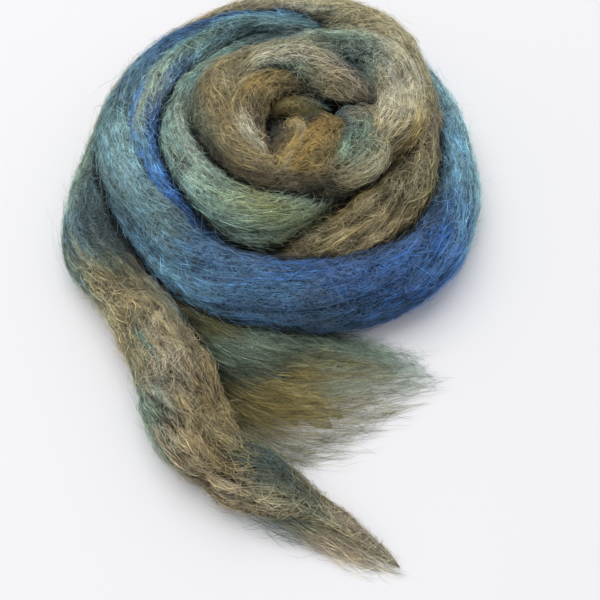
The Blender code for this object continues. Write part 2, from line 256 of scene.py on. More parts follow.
# Its dark brown right side from row 4.4 to 7.3 is painted shade of the hollow beside the outer turn's front
# run.
SWIRL_DYES = table(
    Dye,
    (0, BROWN, MAUVE_GREY, TAN), (1.2, TAN, TAN, MAUVE_TAN), (2.4, TAN, CAMEL, MOSS),
    (3.4, CAMEL, CAMEL, MOSS), (4.4, CAMEL, CAMEL, DARK_BROWN), (5.3, BROWN, CAMEL, DARK_BROWN),
    (6.3, CAMEL, BROWN, DARK_BROWN), (7.3, TAN, TAN, DARK_BROWN), (8.3, PALE_TAN, PALE_TAN, GOLD),
    (9.3, TAN, PALE_TAN, PALE_TAN), (10.2, SAGE, PALE_TAN, PALE_TAN), (11, DARK_TEAL, PALE_MINT, PALE_TAN),
    (12, DARK_TEAL, SAGE, PALE_MINT), (13, TAN, PALE_TAN, GREY_TEAL), (14.2, TAN, TAN, MOSS),
    (16, CAMEL, CAMEL, BROWN),
)
CROSSING_DYES = table(
    Dye,
    (0, TAN, PALE_TAN, TAN), (1.2, PALE_MINT, PALE_TAN, SAGE), (2.2, TAN, PALE_TAN, SAGE),
    (3.2, DARK_TEAL, MAUVE_TAN, TAN), (4.1, INK_SHADE, MAUVE_GREY, MAUVE_GREY),
    (4.7, PEAT_SHADE, DARK_BROWN, DARK_BROWN),
)
CURL_DYES = table(
    Dye,
    (0, DARK_TEAL, DARK_TEAL, DARK_TEAL), (0.8, DARK_BROWN, DARK_BROWN, SLATE), (1.5, BROWN, CAMEL, TAN),
    (2.6, CAMEL, GOLD, TAN), (3.8, BROWN, CAMEL, TAN), (4.8, BROWN, PALE_TAN, TAN),
    (6, CAMEL, PALE_TAN, TAN),
)
SLIT_DYES = table(
    Dye,
    (0, DARK_BROWN, BROWN, BROWN), (1.5, BROWN, GOLDEN_OLIVE, GOLDEN_OLIVE), (3, DARK_TEAL, SLATE, OLIVE),
)
CORE_DYES = table(
    Dye,
    (0, OLIVE, BROWN, OLIVE), (1.2, OLIVE, HONEY, DARK_BROWN), (2.2, BROWN, HONEY, DARK_BROWN),
    (3.1, GOLDEN_OLIVE, HONEY, DARK_BROWN), (4, GOLD, HONEY, BROWN),
)
LOOP_DYES = table(
    Dye,
    (0, GOLD, GOLD, GOLD), (1.2, GOLD, GOLD, TAN), (2.2, PALE_TAN, TAN, GOLD), (3, TAN, GOLD, BROWN),
)
FOLD_DYES = table(
    Dye,
    (0, DARK_TEAL, SLATE, SLATE), (1, TAN, MAUVE_GREY, DARK_TEAL), (2, TAN, SAGE, DARK_TEAL),
    (3, TAN, SAGE, MOSS), (4, BROWN, CAMEL, BROWN),
)
# On the opened end the left is the edge beside the tail and the right is the edge under the blue turn; the
# rows run from 0 at its root to 10 at its tips. Its near-black root and right edge up to row 5.2 are painted
# shadow under the blue turn, over dark green wool.
FAN_DYES = table(
    Dye,
    (0, DARK_MOSS, INK_SHADE, INK_SHADE), (1.8, MOSS, DARK_BROWN, INK_SHADE), (2.6, MOSS, BROWN, INK_SHADE),
    (3.5, DARK_MOSS, BROWN, INK_SHADE), (4.4, DARK_MOSS, OLIVE, INK_SHADE), (5.2, DARK_MOSS, OLIVE, DARK_TEAL),
    (5.9, DARK_MOSS, SAGE, SAGE), (7.0, DARK_MOSS, MOSS, SAGE), (7.6, OLIVE, GOLDEN_OLIVE, SAGE),
    (8.8, OLIVE, GOLDEN_OLIVE, SAGE), (10, MOSS, OLIVE, SAGE),
)
FAN_ROWS = 10

# ---- How the wool lies ----

STATION = 2.8  # mm between the sections of a body
AROUND = 80  # points round a body, closer together on top of it
CROWDING = 0.4
HEART_AROUND = 48
FINE_STEPS = 12
LAY_TWIST = 0.010  # radians for each millimetre: how far the fibres turn about the strand
LAY_RADIUS = 14.0  # mm, a common radius on which the grain is laid out

# Furrows between locks, from broad to fine: how deep (mm), how long their noise cells are (mm), how many go
# round, and how much painted shade their bottoms get.
Furrow = namedtuple("Furrow", "deep cell_long cells_round shade")
FURROWS = table(Furrow, (2.0, 70, 4, 0.35), (1.5, 50, 10, 0.40), (0.7, 38, 22, 0.25), (0.4, 30, 40, 0.18))
WANDER = 2.4  # mm that locks wander sideways
COMMON_HALF = 13.0  # mm, half the width of a common strand, for which the furrows' sizes are given
FULL_HALF = 8.0  # mm, half the width of a strand that has room for all its fibres
# Where the wool is crinkled it has lumps and thin slits (mm), which fade out at the stretch's ends; the slits
# and the hollows between the lumps get painted shade.
LUMP_HIGH = 2.2
SLIT_DEEP = 1.2
CRINKLE_FADE = 15.0
NOISE_ROWS = 64
FAR = 99.0  # mm, past any gap that counts
SINK = 1.0  # mm that a point may lie in another strand and still show
BATCH = 8192  # points tested at a time
# Painted shade in the gaps between turns, where shade falls.
GAP_REACH = 4.2  # mm from another turn at which the painted shade of the gap between them ends
GAP_BLACK = 1.0  # mm from it within which that painted shade is at its darkest
DARKEST = 0.02
BODY_SHADE_TINT = 0.24  # painted shade: the bodies' wool, between the fibres, is darker than they are, from 0 to 1


def place(row):
    """A row's middle, in millimetres about the nest's middle."""
    if isinstance(row, Spot):
        return (row.x, row.y, row.z)
    x, y = SWIRL_AT if isinstance(row, Loop) else (0.0, 0.0)
    turned = math.radians(row.angle)
    return (x + row.radius * math.cos(turned), y + row.radius * math.sin(turned), row.z)


def smooth_rows(bends, count):
    """count rows, read from a Catmull-Rom curve through bends."""
    rows = np.asarray(bends, float)
    rows = np.vstack([2 * rows[0] - rows[1], rows, 2 * rows[-1] - rows[-2]])
    t = np.linspace(0, len(bends) - 1, count)
    i = np.minimum(t.astype(int), len(bends) - 2)
    u = (t - i)[:, None]
    a, b, c, d = rows[i], rows[i + 1], rows[i + 2], rows[i + 3]
    return 0.5 * (2 * b + (c - a) * u + (2 * a - 5 * b + 4 * c - d) * u**2 + (3 * b - a - 3 * c + d) * u**3)


def read_rows(at, places, rows):
    """What rows, known at places, are at places between them."""
    found = np.column_stack([np.interp(np.ravel(at), places, column) for column in rows.T])
    return found.reshape(*np.shape(at), -1)


def eased(x):
    """From 0 to 1 with a soft start and a soft end."""
    return x * x * (3 - 2 * x)


def soft_noise(seed, down, across, columns):
    """Smooth noise from 0 to 1 over cells: down counts them along the strand, across from 0 to 1 goes once
    round its columns."""
    grid = np.random.default_rng(seed).random((NOISE_ROWS, columns))
    down, across = np.broadcast_arrays(down, across * columns)
    i, j = np.floor(down).astype(int), np.floor(across).astype(int)
    u, v = eased(down - i), eased(across - j)

    def in_row(i):
        return grid[i % NOISE_ROWS, j % columns] * (1 - v) + grid[i % NOISE_ROWS, (j + 1) % columns] * v

    return in_row(i) * (1 - u) + in_row(i + 1) * u


def furrow_depth(seed, down, across, round_share):
    """The skin's height (mm) from its furrows, and the painted shade deep in them: a factor from 0 deep in
    one to 1.
    """
    height, painted_shading = 0.0, 1.0
    for k, furrow in enumerate(FURROWS):
        columns = max(3, round(furrow.cells_round * round_share))
        noise = soft_noise(seed + 17 * k, down / furrow.cell_long, across, columns)
        bank = np.minimum(np.abs(noise - 0.5) / 0.20, 1.0) ** 0.7
        height = height + furrow.deep * (bank - 0.75)
        painted_shading = painted_shading * (1 - furrow.shade * (1 - bank))
    return height, painted_shading


class Strand:
    """A combed strand: its middle line, the directions across it and the half sizes of its section."""

    def __init__(self, bends, seed, round_ends=(12.0, 12.0), crinkle=()):
        rows = [(*place(row), row.wide / 2, row.high / 2) for row in bends]
        fine = smooth_rows(rows, FINE_STEPS * (len(rows) - 1) + 1)
        fine[:, :2] += NEST_AT
        run = np.concatenate([[0], np.cumsum(np.linalg.norm(np.diff(fine[:, :3], axis=0), axis=1))])
        self.row_at = run[::FINE_STEPS]
        self.length = run[-1]
        self.along = np.linspace(0, run[-1], max(8, round(run[-1] / STATION)))
        stations = read_rows(self.along, run, fine)
        ahead = np.gradient(stations[:, :3], axis=0)
        ahead /= np.linalg.norm(ahead, axis=1)[:, None]
        side = np.cross(ahead, (0, 0, 1))
        side /= np.linalg.norm(side, axis=1)[:, None]
        lift = np.cross(side, ahead)
        self.stations = np.hstack([stations[:, :3], ahead, side, lift, stations[:, 3:]])
        self.seed = seed
        self.round_ends = round_ends
        self.crinkle = crinkle

    def read(self, along):
        """The middle, the ahead, side and lift directions and the half sizes, at places along (mm). Past an
        end it goes straight on."""
        found = read_rows(along, self.along, self.stations)
        found[..., :3] += (along - np.clip(along, 0, self.length))[..., None] * found[..., 3:6]
        middle, ahead, side, lift = np.split(found[..., :12], 4, -1)
        return middle, ahead, side, lift, found[..., 12], found[..., 13]

    def taper(self, along, least):
        """How much of its size the section has near a rounded end."""
        near = np.minimum(along / self.round_ends[0], (self.length - along) / self.round_ends[1])
        near = np.clip(near, 0, 1)
        return np.maximum(np.sqrt(1 - (1 - near) ** 2), least)

    def surface(self, along, around, above=0.0, least=0.0, cap=1.0):
        """Points above (mm) the uneven skin, and its painted shading there, darker in furrows, slits and
        between lumps.
        """
        middle, _, side, lift, half_wide, half_high = self.read(along)
        size = self.taper(along, least) * cap
        cosine, sine = np.cos(around), np.sin(around)
        out_side, out_lift = cosine / half_wide, sine / half_high
        scale = np.hypot(out_side, out_lift)
        out_side, out_lift = out_side / scale, out_lift / scale
        round_share = float(np.clip(np.mean(self.stations[:, 12:14]) / COMMON_HALF, 0.35, 1.6))
        across = self.lay_angle(along, around) / TURN
        height, painted_shading = furrow_depth(self.seed, along, across, round_share)
        height = height * np.clip(np.minimum(half_wide, half_high) / COMMON_HALF, 0.3, 1.15)
        for inside, deep in self.crinkled(along):
            lump = self.noise(301, along, 9, across, 9) + 0.5 * self.noise(302, along, 4.5, across, 20)
            line = np.abs(self.noise(306, along, 24, across, 18) - 0.5)
            broken = np.clip((self.noise(307, along, 10, across, 9) - 0.38) / 0.2, 0, 1)
            slit = inside * broken * np.clip(1.15 - line / 0.07, 0, 1)
            height = height + LUMP_HIGH * inside * deep * (lump - 0.75) - SLIT_DEEP * deep * slit
            # Painted shade between the lumps and in the slits.
            painted_shading = painted_shading * (1 - 0.35 * inside * np.clip(1.0 - lump, 0, 1))
            painted_shading = painted_shading * (1 - 0.85 * min(deep, 1) * slit)
        reach = height * size + above
        x = half_wide * size * cosine + reach * out_side
        y = half_high * size * sine + reach * out_lift
        return middle + x[..., None] * side + y[..., None] * lift, painted_shading

    def noise(self, layer, along, cell_long, across, cells_round):
        return soft_noise(self.seed + layer, along / cell_long, across, cells_round)

    def half(self, along):
        """Half the strand's mean width (mm) at places along."""
        return np.interp(along, self.along, self.stations[:, 12:14].mean(1))

    def fullness(self, along):
        """How many of the fibres have room on the strand, less than 1 where it is slender."""
        return np.clip(self.half(along) / FULL_HALF, 0.15, 1)

    def crinkled(self, along):
        """For each crinkled stretch, how far inside it the places are, from 0 to 1, and how deep it is."""
        for start, end, deep in self.crinkle:
            yield np.clip(np.minimum(along - start, end - along) / CRINKLE_FADE, 0, 1), deep

    def crimp(self, along, around):
        """How far (mm) the locks wander sideways: a little, and zigzagging where it is crinkled."""
        across = (around - LAY_TWIST * along) / TURN
        aside = WANDER * (self.noise(303, along, 15, across, 6) - 0.5)
        for inside, deep in self.crinkled(along):
            broad, narrow = self.noise(304, along, 11, across, 6), self.noise(305, along, 4, across, 12)
            aside = aside + inside * deep * (3.0 * (broad - 0.5) + 1.2 * (narrow - 0.5))
        return aside

    def lay_angle(self, along, around):
        """Which fibre of the strand passes here, as an angle round it."""
        return around - self.crimp(along, around) / self.half(along) - LAY_TWIST * along

    def outward(self, along, around):
        """Directions straight out of the skin."""
        _, _, side, lift, half_wide, half_high = self.read(along)
        out = (np.cos(around) / half_wide)[..., None] * side + (np.sin(around) / half_high)[..., None] * lift
        return out / np.linalg.norm(out, axis=-1, keepdims=True)

    def clearance(self, points):
        """How far (mm) each point lies outside this strand's section, less than 0 inside it."""
        found = np.full(len(points), FAR)
        stations = self.stations[::2]
        squares = (stations[:, :3] ** 2).sum(1)
        for start in range(0, len(points), BATCH):
            part = points[start : start + BATCH]
            near = stations[(squares - 2 * part @ stations[:, :3].T).argmin(1)]
            away = part - near[:, :3]
            x = (away * near[:, 6:9]).sum(-1) / near[:, 12]
            y = (away * near[:, 9:12]).sum(-1) / near[:, 13]
            z = (away * near[:, 3:6]).sum(-1)
            beyond = np.maximum(np.abs(z) - 2 * STATION, 0)
            found[start : start + BATCH] = (np.hypot(x, y) - 1) * np.sqrt(near[:, 12] * near[:, 13]) + beyond
        return found


def gap_to(points, turns):
    """How far (mm) each point lies outside all of the turns, less than 0 inside one."""
    flat = points.reshape(-1, 3)
    nearest = np.full(len(flat), FAR)
    for turn in turns:
        nearest = np.minimum(nearest, turn.clearance(flat))
    return nearest.reshape(points.shape[:-1])


def painted_gap_shade(points, turns):
    """Painted shade of the gaps between turns: a factor from DARKEST where a turn touches a point to 1 where
    none is near.
    """
    near = np.clip((gap_to(points, turns) - GAP_BLACK) / (GAP_REACH - GAP_BLACK), 0, 1)
    return DARKEST + (1 - DARKEST) * eased(near)


# ---- Meshes ----

HAIR_SIDES = 3
LOWEST = 0.02  # mm above the floor, which no fibre goes under
FLOOR_SKIN = 0.4  # mm above the floor, under which a fibre counts as hidden


def added(name, data):
    """An object of this data, in the scene."""
    made = bpy.data.objects.new(name, data)
    bpy.context.scene.collection.objects.link(made)
    return made


def new_piece(name, points, quads, triangles, layers, corners):
    """A smooth mesh object from points (mm), its faces, its named point layers of three numbers each, and a
    map of its corners for baking."""
    mesh = bpy.data.meshes.new(name)
    mesh.vertices.add(len(points))
    mesh.vertices.foreach_set("co", (np.asarray(points) * MM).astype(np.float32).ravel())
    loops = np.concatenate([np.ravel(quads), np.ravel(triangles)]).astype(np.int32)
    starts = np.concatenate([np.arange(len(quads)) * 4, 4 * len(quads) + np.arange(len(triangles)) * 3])
    mesh.loops.add(len(loops))
    mesh.loops.foreach_set("vertex_index", loops)
    mesh.polygons.add(len(starts))
    mesh.polygons.foreach_set("loop_start", starts.astype(np.int32))
    mesh.update(calc_edges=True)
    for layer, values in layers.items():
        attribute = mesh.attributes.new(layer, "FLOAT_VECTOR", "POINT")
        attribute.data.foreach_set("vector", np.asarray(values, np.float32).ravel())
    bake_map = mesh.uv_layers.new(name="OFBake")
    bake_map.data.foreach_set("uv", np.asarray(corners, np.float32).ravel())
    mesh.shade_smooth()
    return added(name, mesh)


def laid(along, turned):
    """Where the grain runs: along the strand and round it, on a common radius, in metres."""
    round_it = LAY_RADIUS * MM * np.cos(turned), LAY_RADIUS * MM * np.sin(turned)
    return np.stack(np.broadcast_arrays(along * MM, *round_it), -1)


def wool_layers(lay, share, cosine, sine, tint, pale, painted_shading):
    """What a material reads at each point: the grain, the place on the strand, how dark (on the bodies,
    painted shade between the fibres) and how pale the wool is, and its painted shading."""
    place_on = np.stack(np.broadcast_arrays(share, cosine, sine), -1)
    return {"lay": lay, "place": place_on, "hair": np.stack(np.broadcast_arrays(tint, pale, painted_shading), -1)}


def tube_faces(rings, columns):
    """The faces of a closed tube, whose points are a tip, its rings and a tip: its quads and its triangles,
    and how many columns round and rows along each of their corners lies."""
    j, k = (part.ravel() for part in np.mgrid[0 : rings - 1, 0:columns])
    after, low, high = (k + 1) % columns, 1 + columns * j, 1 + columns * (j + 1)
    quads = np.stack([low + k, high + k, high + after, low + after], -1)
    quad_cells = np.stack([k, j + 1, k, j + 2, k + 1, j + 2, k + 1, j + 1], -1)
    k, one = np.arange(columns), np.ones(columns, int)
    after, last = (k + 1) % columns, 1 + columns * (rings - 1)
    nose = np.stack([0 * k, 1 + k, 1 + after], -1)
    heel = np.stack([(last + columns) * one, last + after, last + k], -1)
    nose_cells = np.stack([k + 0.5, 0 * k, k, one, k + 1, one], -1)
    heel_cells = np.stack([k + 0.5, (rings + 1) * one, k + 1, rings * one, k, rings * one], -1)
    triangle_cells = np.vstack([nose_cells, heel_cells])
    return quads, np.vstack([nose, heel]), quad_cells.reshape(-1, 2), triangle_cells.reshape(-1, 2)


def tube_piece(name, strand, start, end, near, caps=(0.0, 0.0), columns=AROUND):
    """The body of a strand from start to end (mm), with near the turns whose gaps to it get painted shade. A
    cap (mm) goes on past its end, shrinking to a point, hidden in the body that it meets."""
    first, last = start - caps[0], end + caps[1]
    along = np.linspace(first, last, max(8, round((last - first) / STATION)))
    around = np.arange(columns) * TURN / columns
    around = around + CROWDING * np.cos(around)
    cap = np.ones(len(along))
    for beyond, length in ((start - along, caps[0]), (along - end, caps[1])):
        if length:
            cap *= np.sqrt(np.clip(1 - (np.maximum(beyond, 0) / length) ** 2, 0, 1))
    grid_along, grid_around = np.meshgrid(along, around, indexing="ij")
    points, painted_shading = strand.surface(grid_along, grid_around, cap=cap[:, None])
    points[..., 2] = np.maximum(points[..., 2], 0)
    points[0], points[-1] = points[0].mean(0), points[-1].mean(0)
    painted_shading = painted_shading * painted_gap_shade(points, near)
    lay = laid(grid_along, strand.lay_angle(grid_along, grid_around))
    share, cosine, sine = grid_along / strand.length, np.cos(grid_around), np.sin(grid_around)
    thin = 1 - strand.fullness(grid_along)
    layers = wool_layers(lay, share, cosine, sine, BODY_SHADE_TINT + 0.45 * thin, 0.6 * thin, painted_shading)
    rows = len(along)
    last = (rows - 1) * columns
    keep = np.concatenate([[0], np.arange(columns, last), [last]])
    layers = {layer: values.reshape(-1, 3)[keep] for layer, values in layers.items()}
    quads, triangles, *cells = tube_faces(rows - 2, columns)
    return new_piece(
        name, points.reshape(-1, 3)[keep], quads, triangles, layers, np.vstack(cells) / (columns, rows - 1)
    )


def hair_piece(name, paths, outward, thick, layers):
    """Fine fibres in one mesh: each has three sides and a point at both ends."""
    count, steps = paths.shape[:2]
    ahead = np.gradient(paths, axis=1)
    ahead /= np.linalg.norm(ahead, axis=2, keepdims=True) + 1e-9
    across = np.cross(ahead, outward)
    across /= np.linalg.norm(across, axis=2, keepdims=True) + 1e-9
    up = np.cross(across, ahead)
    around = np.arange(HAIR_SIDES)[:, None] * TURN / HAIR_SIDES
    out = np.cos(around) * across[:, 1:-1, None] + np.sin(around) * up[:, 1:-1, None]
    ring = paths[:, 1:-1, None] + thick[:, None, None, None] * out
    points = np.concatenate([paths[:, :1], ring.reshape(count, -1, 3), paths[:, -1:]], 1)
    points[..., 2] = np.maximum(points[..., 2], LOWEST)
    spread = {}
    for layer, values in layers.items():
        middle = np.repeat(values[:, 1:-1], HAIR_SIDES, axis=1)
        spread[layer] = np.concatenate([values[:, :1], middle, values[:, -1:]], 1).reshape(-1, 3)
    quads, triangles, *cells = tube_faces(steps - 2, HAIR_SIDES)
    offset = (np.arange(count) * points.shape[1])[:, None, None]
    # On the map each fibre has a small patch of its own, with a margin.
    columns = math.ceil(math.sqrt(count * 4))
    patch = np.stack([np.arange(count) % columns, np.arange(count) // columns], -1)[:, None]
    patches = [(patch + 0.1 + 0.8 * cell / (HAIR_SIDES, steps - 1)).reshape(-1, 2) for cell in cells]
    corners = np.vstack(patches) / (columns, math.ceil(count / columns))
    quads, triangles = (quads + offset).reshape(-1, 4), (triangles + offset).reshape(-1, 3)
    return new_piece(name, points.reshape(-1, 3), quads, triangles, spread, corners)


# ---- Materials ----

# The loose fibres on the skin: how steeply they cross it (degrees), and their noise's scale.
WEB = ((14, 980), (-20, 860), (38, 760))
WEB_SHARE = 0.6
WARM = (1.04, 1.01, 0.92, 1.0)
COOL = (0.94, 1.00, 1.06, 1.0)


def linear(colour, gain=1.0):
    """A colour from 0 to 255 as the linear light that a shader takes."""
    part = [c / 255 for c in colour]
    part = [c / 12.92 if c <= 0.04045 else ((c + 0.055) / 1.055) ** 2.4 for c in part]
    return tuple(min(1.0, gain * c) for c in part) + (1.0,)


class Nodes:
    """A short way to build a material's nodes."""

    def __init__(self, name):
        self.material = bpy.data.materials.new(name)
        self.material.use_nodes = True
        self.tree = self.material.node_tree
        self.shader = self.tree.nodes["Principled BSDF"]

    def fill(self, node, inputs):
        """Set or link a node's inputs, each given by its name or as i and its number."""
        for key, value in inputs.items():
            socket = node.inputs[int(key[1:]) if key[1:].isdigit() else key]
            if isinstance(value, bpy.types.NodeSocket):
                self.tree.links.new(value, socket)
            else:
                socket.default_value = value

    def node(self, kind, settings=(), **inputs):
        made = self.tree.nodes.new("ShaderNode" + kind)
        for key, value in dict(settings).items():
            setattr(made, key, value)
        self.fill(made, inputs)
        return made

    def attribute(self, name):
        return self.node("Attribute", {"attribute_name": name}).outputs["Vector"]

    def split(self, vector):
        return self.node("SeparateXYZ", i0=vector).outputs

    def math(self, operation, a, b=0.0, c=0.0):
        return self.node("Math", {"operation": operation}, i0=a, i1=b, i2=c).outputs[0]

    def times(self, product, *factors):
        for factor in factors:
            product = self.math("MULTIPLY", product, factor)
        return product

    def strayed(self, value, *strays):
        """A value moved by noises from 0 to 1, each given with how far it moves it."""
        for noise, reach in strays:
            value = self.math("MULTIPLY_ADD", self.math("SUBTRACT", noise, 0.5), reach, value)
        return value

    def from_middle(self, noise):
        return self.math("ABSOLUTE", self.math("SUBTRACT", noise, 0.5))

    def grain(self, vector, stretch, scale, detail, distortion=0.0):
        """Noise drawn out along the fibres."""
        drawn = self.node("VectorMath", {"operation": "MULTIPLY"}, i0=vector, i1=(stretch, 1, 1)).outputs[0]
        sizes = {"Scale": scale, "Detail": detail, "Distortion": distortion}
        return self.node("TexNoise", Vector=drawn, **sizes).outputs[0]

    def to_range(self, value, low, high, new_low, new_high):
        return self.node("MapRange", i0=value, i1=low, i2=high, i3=new_low, i4=new_high).outputs[0]

    def ramp(self, value, stops):
        made = self.node("ValToRGB", Fac=value)
        elements = made.color_ramp.elements
        while len(elements) < len(stops):
            elements.new(0.5)
        for element, (at, colour) in zip(elements, stops):
            element.position = at
            element.color = colour
        return made.outputs[0]

    def mix(self, share, a, b, blend="MIX"):
        return self.node("Mix", {"data_type": "RGBA", "blend_type": blend}, i0=share, i6=a, i7=b).outputs[2]

    def lit(self, colour, light):
        """A colour times a number."""
        grey = self.node("CombineXYZ", i0=light, i1=light, i2=light).outputs[0]
        return self.mix(1.0, colour, grey, "MULTIPLY")


def dyed_wool(name, dyes, shares):
    """Wool with its dyes along the strand and across it, streaked along the fibres, darkened by painted
    shade, under a web of pale loose fibres. shares says how far along, from 0 to 1, each row of dyes is."""
    n = Nodes(name)
    lay, spot = n.attribute("lay"), n.split(n.attribute("place"))
    run = n.split(lay)[0]
    tint, pale, painted_shading = n.split(n.attribute("hair"))
    clouds = n.grain(lay, 0.3, 90, 2)
    locks = n.grain(lay, 0.08, 420, 2, 0.4)
    streaks = n.grain(lay, 0.07, 1600, 1.5, 0.9)
    # Loose fibres cross the strand to either side: the thin lines where a noise passes its middle.
    apart = 1.0
    for slope, scale in WEB:
        turned = n.times(run, math.tan(math.radians(slope)) / (LAY_RADIUS * MM))
        turn = n.node("VectorRotate", {"rotation_type": "X_AXIS"}, Vector=lay, Angle=turned).outputs[0]
        apart = n.math("MINIMUM", apart, n.from_middle(n.grain(turn, 0.24, scale, 1, 1.3)))
    web = n.times(n.to_range(apart, 0.008, 0.075, 1, 0), n.to_range(clouds, 0.35, 0.6, 0.55, 1.0))
    # Each lock carries its own dye a little further than the next.
    share = n.strayed(spot[0], (clouds, 0.08), (locks, 0.07), (tint, 0.035))
    side = n.strayed(spot[1], (clouds, 1.2), (locks, 1.1), (tint, 0.5))
    left, top, right = (
        n.ramp(share, [(at, linear(getattr(dye, column), DYE_GAIN)) for at, dye in zip(shares, dyes)])
        for column in ("left", "top", "right")
    )
    dye = n.mix(n.to_range(side, -0.15, -0.85, 0, 1), top, left)
    dye = n.mix(n.to_range(side, 0.15, 0.85, 0, 1), dye, right)
    warmth = n.to_range(n.grain(lay, 0.06, 560, 1, 0.3), 0.38, 0.62, 0, 1)
    dye = n.mix(1.0, dye, n.mix(warmth, COOL, WARM), "MULTIPLY")
    # Light and dark fibres, and painted shade: in the partings between them, on the bodies under them, in
    # furrows and in gaps between turns.
    tone = n.times(
        n.to_range(streaks, 0.40, 0.60, 0.16, 1.90),
        n.to_range(n.from_middle(n.grain(lay, 0.05, 800, 1.5, 0.7)), 0.01, 0.09, 0.32, 1.05),
        n.to_range(locks, 0.3, 0.7, 0.88, 1.12),
        n.to_range(tint, 0, 1, 0.18, 1.92),
        n.to_range(painted_shading, 0.05, 0.85, 0.04, 1.12),
    )
    loose = n.mix(n.to_range(pale, 1.0, 2.0, 0.25, 0.85), n.lit(dye, 1.5), linear(PALE_FIBRE, 1.4))
    # The pale loose fibres get the painted shade too.
    loose = n.lit(loose, n.to_range(painted_shading, 0.05, 0.8, 0.14, 1.15))
    colour = n.mix(n.math("MAXIMUM", pale, n.times(web, WEB_SHARE)), n.lit(dye, tone), loose)
    height = n.math("MULTIPLY_ADD", web, 0.35, streaks)
    bump = n.node("Bump", Strength=1.0, Distance=0.0012, Height=height).outputs[0]
    n.fill(n.shader, {"Base Color": colour, "Normal": bump, "Roughness": 0.75})
    n.fill(n.shader, {"Specular IOR Level": 0.08, "Sheen Weight": 0.03, "Sheen Roughness": 0.5})
    return n.material


def floor_material():
    n = Nodes("pale_floor")
    position = n.node("TexCoord").outputs["Object"]
    cloud = n.node("TexNoise", Vector=position, Scale=3.0, Detail=2.0).outputs[0]
    colour = n.mix(cloud, (0.83, 0.825, 0.835, 1), (0.85, 0.845, 0.855, 1))
    n.fill(n.shader, {"Base Color": colour, "Roughness": 0.6})
    return n.material


# ---- Fibres ----

CANDIDATES = 3.2  # how many fibres are tried for each one kept: the others lie inside other turns
LAID_STEPS = 5  # points along a fibre that lies on its strand
FUZZ_STEPS = 7  # and along a loose curly one
UNDERSIDE = -0.45  # the sine of the angle below which a fibre is on the underside
UNDER_SHARE = 0.2  # how many of the fibres there are kept
CLUMPS = 62  # fine locks of fibres round a thick strand
CROSS_SHARE = 0.35  # how many of the laid fibres cross the strand
LONG_SHARE = 0.15  # how many of the curly fibres are long
GAP_SHARE = 0.2  # and how many reach out of a gap's painted shade, so that they get only half of it
# How thick the fibres are, as the radius (mm) of their section's corners.
LAID_THICK = (0.06, 0.15)
SHORT_THICK = (0.04, 0.08)
LONG_THICK = (0.03, 0.05)
WISP_THICK = (0.04, 0.09)


def waves(rng, each, along, size, length):
    """Two sines for each fibre, with their own phases, over the distance along."""
    total = np.zeros_like(along)
    for part in (1.0, 0.5):
        amount = rng.normal(0, size * part, each)
        pace = TURN / (length * part * rng.uniform(0.7, 1.5, each))
        total += amount * np.sin(pace * along + rng.uniform(0, TURN, each))
    return total


def curls(rng, each, length, lean, bend, steps):
    """How far along and aside (mm) each point of a fibre is from its middle, as its heading swings."""
    t = np.linspace(0, 1, steps)[None]
    swing = np.abs(rng.normal(0, bend, each))
    heading = np.radians(rng.normal(0, lean, each))
    heading = heading + swing * np.sin(TURN * (rng.uniform(0.5, 1.7, each) * t + rng.random(each)))
    step = length / (steps - 1)
    ahead, aside = np.cumsum(np.cos(heading), 1) * step, np.cumsum(np.sin(heading), 1) * step
    return ahead - ahead.mean(1, keepdims=True), aside - aside.mean(1, keepdims=True)


def scattered(rng, strand, count, span):
    """Where fibres are tried, and which are left out: most on the underside, and some where the strand is
    slender."""
    each = (int(count * CANDIDATES), 1)
    centre = rng.uniform(*span, each)
    angle = rng.uniform(0, TURN, each)
    left_out = (np.sin(angle) < UNDERSIDE) & (rng.random(each) > UNDER_SHARE)
    left_out |= rng.random(each) > strand.fullness(centre)
    return each, centre, angle, left_out[:, 0]


def kept_open(paths, others, count, left_out=False):
    """The first count fibres that show: those neither inside another turn nor under the floor."""
    probe = paths[:, [1, paths.shape[1] // 2, -2]]
    hidden = (gap_to(probe, others) < -SINK).sum(1) > 1
    under = (probe[:, :, 2] < FLOOR_SKIN).sum(1) > 1
    return np.flatnonzero(~hidden & ~under & ~left_out)[:count]


class Fibres:
    """Those of the tried fibres that show on a strand, at most count."""

    def __init__(self, strand, turns, count, left_out, centre, angle, along, around, above):
        paths, painted_shading = strand.surface(along, around, above, least=0.35)
        self.strand = strand
        self.kept = kept = kept_open(paths, turns[0], count, left_out)
        self.along, self.around = along[kept], around[kept]
        self.paths, self.painted_shading = paths[kept], painted_shading[kept]
        # Painted shade of the gaps between turns, at each fibre's middle.
        self.gap = painted_gap_shade(self.paths[:, paths.shape[1] // 2], turns[1])[:, None]
        self.lay = laid(self.along, (angle - LAY_TWIST * centre)[kept])

    def piece(self, name, tint, pale, painted_shading, thick):
        share, cosine, sine = self.along / self.strand.length, np.cos(self.around), np.sin(self.around)
        layers = wool_layers(self.lay, share, cosine, sine, tint, pale, painted_shading)
        return hair_piece(name, self.paths, self.strand.outward(self.along, self.around), thick, layers)


